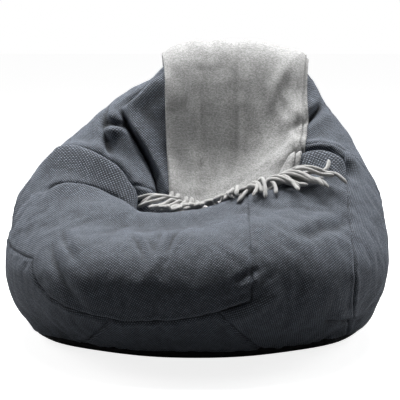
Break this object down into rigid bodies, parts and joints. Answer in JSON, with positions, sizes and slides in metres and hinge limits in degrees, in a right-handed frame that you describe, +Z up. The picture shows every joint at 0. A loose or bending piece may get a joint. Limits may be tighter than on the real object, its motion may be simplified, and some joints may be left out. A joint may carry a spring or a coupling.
{
  "type": "bean bag chair",
  "caption": "Slumped bean bag chair with a raised backrest, a hollow seat behind a soft front lip, a rear zip and a fringed throw laid over the back.",
  "frame": {"origin": "on the floor under the middle of the whole object's plan, throw included", "axes": "+Z up, the seat faces -Y, +X to the sitter's left when seated, which is the right of a front view"},
  "size_m": [1.0041, 0.9423, 0.7613],
  "materials": {
    "cover_cloth": "matte",
    "base_cloth": "matte",
    "liner_cloth": "matte",
    "bead_filling": "matte",
    "zip_tape": "matte",
    "zip_teeth": "satin",
    "zip_metal": "satin",
    "throw_cloth": "matte",
    "fringe_yarn": "matte"
  },
  "bodies": {
    "bag": {"base_panel": "base_cloth", "front_band": "cover_cloth", "front_left_panel": "cover_cloth", "front_right_panel": "cover_cloth", "left_side_panel": "cover_cloth", "right_side_panel": "cover_cloth", "backrest_panel": "cover_cloth", "back_left_panel": "cover_cloth", "back_right_panel": "cover_cloth", "inner_liner": "liner_cloth", "bean_filling": "bead_filling", "cover_zip_tape_left": "zip_tape", "cover_zip_tape_right": "zip_tape", "cover_zip_teeth_left": "zip_teeth", "cover_zip_teeth_right": "zip_teeth", "cover_zip_top_stop": "zip_metal", "cover_zip_bottom_stop": "zip_metal", "throw_blanket": "throw_cloth", "throw_front_fringe": "fringe_yarn", "throw_back_fringe": "fringe_yarn"},
    "zip_slider": {"cover_zip_slider": "zip_metal"},
    "zip_pull_tab": {"cover_zip_pull_tab": "zip_metal"}
  },
  "joints": [
    {"name": "zip_slide", "type": "slide", "parent": "bag", "child": "zip_slider", "axis": [0, 0.1564, -0.9877], "range_m": [0, 0.233]},
    {"name": "pull_tab_hinge", "type": "hinge", "parent": "zip_slider", "child": "zip_pull_tab", "pos_m": [-0.17, 0.3646, 0.3851], "axis": [1, 0, 0], "range_deg": [0, 150]}
  ]
}
